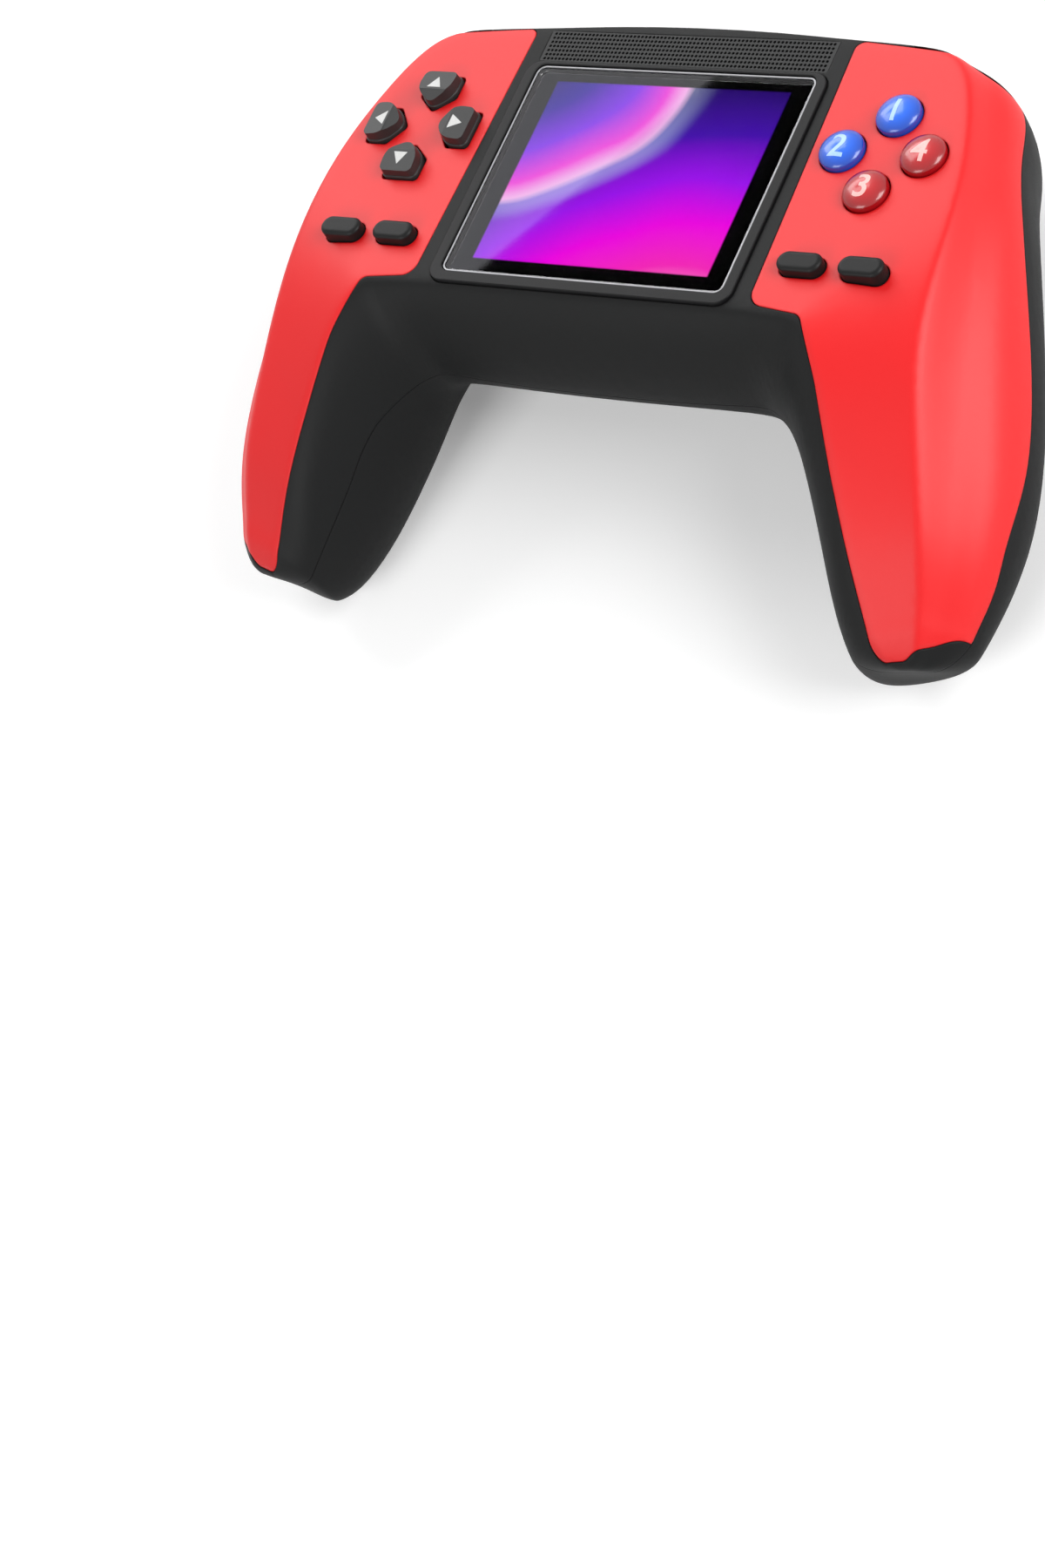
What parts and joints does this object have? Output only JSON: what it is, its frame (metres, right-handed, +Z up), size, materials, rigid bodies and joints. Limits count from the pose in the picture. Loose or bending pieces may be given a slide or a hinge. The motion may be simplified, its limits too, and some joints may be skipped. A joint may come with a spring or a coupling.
{
  "type": "handheld game console",
  "caption": "Handheld game console with a screen between two grips, a perforated speaker strip, direction keys, action and menu buttons, shoulder buttons and triggers.",
  "frame": {"origin": "on the table below the middle of the bounding box, console resting on the backs of its grips and the tips of its triggers, screen up", "axes": "+X to the player's right, +Y towards the shoulder buttons, +Z up"},
  "size_m": [0.1608, 0.1072, 0.0442],
  "materials": {
    "shell_black": "fine matte grain",
    "panel_red": "satin",
    "key_grey": "satin",
    "button_blue": "polished",
    "button_red": "polished",
    "menu_black": "satin",
    "shoulder_black": "satin",
    "glass": "polished",
    "trim_silver": "bright",
    "bezel_black": "satin",
    "grille_black": "matte",
    "rubber": "matte",
    "board_green": "lacquered",
    "chip_black": "matte",
    "display": "lit picture",
    "ribbon": "satin",
    "steel": "plain",
    "switch_grey": "matte",
    "cell": "wrapped",
    "brass": "bright"
  },
  "bodies": {
    "casing": {"front_shell": "shell_black", "rear_shell": "shell_black", "left_face_panel": "panel_red", "right_face_panel": "panel_red", "screen_lens": "glass", "screen_trim": "trim_silver", "screen_bezel": "bezel_black", "speaker_grille": "grille_black", "dpad_rubber_pad": "rubber", "action_rubber_pad": "rubber", "left_menu_rubber_pad": "rubber", "right_menu_rubber_pad": "rubber", "display_gasket": "rubber", "main_board": "board_green", "shoulder_boards": "board_green", "main_chips": "chip_black", "tact_switches": "chip_black", "av_jack": "chip_black", "speaker": "chip_black", "display_module": "display", "display_flex": "ribbon", "board_screws": "steel", "case_screws": "steel", "trigger_pins": "steel", "trigger_springs": "steel", "charging_port": "steel", "power_switch": "switch_grey", "battery": "cell", "battery_contacts": "brass"},
    "dpad_up_key": {"dpad_up_key": "key_grey"},
    "dpad_left_key": {"dpad_left_key": "key_grey"},
    "dpad_down_key": {"dpad_down_key": "key_grey"},
    "dpad_right_key": {"dpad_right_key": "key_grey"},
    "action_top_button": {"action_top_button": "button_blue"},
    "action_left_button": {"action_left_button": "button_blue"},
    "action_bottom_button": {"action_bottom_button": "button_red"},
    "action_right_button": {"action_right_button": "button_red"},
    "reset_button": {"reset_button": "menu_black"},
    "volume_button": {"volume_button": "menu_black"},
    "select_button": {"select_button": "menu_black"},
    "start_button": {"start_button": "menu_black"},
    "left_bumper": {"left_bumper": "shoulder_black"},
    "left_trigger": {"left_trigger": "shoulder_black"},
    "right_bumper": {"right_bumper": "shoulder_black"},
    "right_trigger": {"right_trigger": "shoulder_black"},
    "power_slider": {"power_slider": "switch_grey"},
    "battery_door": {"battery_door": "shell_black"}
  },
  "joints": [
    {"name": "dpad_up_press", "type": "slide", "parent": "casing", "child": "dpad_up_key", "axis": [0, -0.252, -0.9677], "range_m": [0, 0.0011], "stiffness_N_per_m": 350},
    {"name": "dpad_left_press", "type": "slide", "parent": "casing", "child": "dpad_left_key", "axis": [0, -0.252, -0.9677], "range_m": [0, 0.0011], "stiffness_N_per_m": 350},
    {"name": "dpad_down_press", "type": "slide", "parent": "casing", "child": "dpad_down_key", "axis": [0, -0.252, -0.9677], "range_m": [0, 0.0011], "stiffness_N_per_m": 350},
    {"name": "dpad_right_press", "type": "slide", "parent": "casing", "child": "dpad_right_key", "axis": [0, -0.252, -0.9677], "range_m": [0, 0.0011], "stiffness_N_per_m": 350},
    {"name": "action_top_press", "type": "slide", "parent": "casing", "child": "action_top_button", "axis": [0, -0.252, -0.9677], "range_m": [0, 0.0014], "stiffness_N_per_m": 350},
    {"name": "action_left_press", "type": "slide", "parent": "casing", "child": "action_left_button", "axis": [0, -0.252, -0.9677], "range_m": [0, 0.0014], "stiffness_N_per_m": 350},
    {"name": "action_bottom_press", "type": "slide", "parent": "casing", "child": "action_bottom_button", "axis": [0, -0.252, -0.9677], "range_m": [0, 0.0014], "stiffness_N_per_m": 350},
    {"name": "action_right_press", "type": "slide", "parent": "casing", "child": "action_right_button", "axis": [0, -0.252, -0.9677], "range_m": [0, 0.0014], "stiffness_N_per_m": 350},
    {"name": "reset_press", "type": "slide", "parent": "casing", "child": "reset_button", "axis": [0, -0.252, -0.9677], "range_m": [0, 0.0008], "stiffness_N_per_m": 400},
    {"name": "volume_press", "type": "slide", "parent": "casing", "child": "volume_button", "axis": [0, -0.252, -0.9677], "range_m": [0, 0.0008], "stiffness_N_per_m": 400},
    {"name": "select_press", "type": "slide", "parent": "casing", "child": "select_button", "axis": [0, -0.252, -0.9677], "range_m": [0, 0.0008], "stiffness_N_per_m": 400},
    {"name": "start_press", "type": "slide", "parent": "casing", "child": "start_button", "axis": [0, -0.252, -0.9677], "range_m": [0, 0.0008], "stiffness_N_per_m": 400},
    {"name": "left_bumper_press", "type": "slide", "parent": "casing", "child": "left_bumper", "axis": [0, -0.9677, 0.252], "range_m": [0, 0.0005], "stiffness_N_per_m": 900},
    {"name": "left_trigger_pull", "type": "hinge", "parent": "casing", "child": "left_trigger", "pos_m": [-0.0491, 0.0404, 0.01494], "axis": [-1, 0, 0], "range_deg": [0, 12], "stiffness_Nm_per_rad": 0.15},
    {"name": "right_bumper_press", "type": "slide", "parent": "casing", "child": "right_bumper", "axis": [0, -0.9677, 0.252], "range_m": [0, 0.0005], "stiffness_N_per_m": 900},
    {"name": "right_trigger_pull", "type": "hinge", "parent": "casing", "child": "right_trigger", "pos_m": [0.0491, 0.0404, 0.01494], "axis": [-1, 0, 0], "range_deg": [0, 12], "stiffness_Nm_per_rad": 0.15},
    {"name": "power_slide", "type": "slide", "parent": "casing", "child": "power_slider", "axis": [1, 0, 0], "range_m": [0, 0.0025]},
    {"name": "battery_door_hinge", "type": "hinge", "parent": "casing", "child": "battery_door", "pos_m": [0, 0.03049, 0.00903], "axis": [1, 0, 0], "range_deg": [0, 75]}
  ]
}
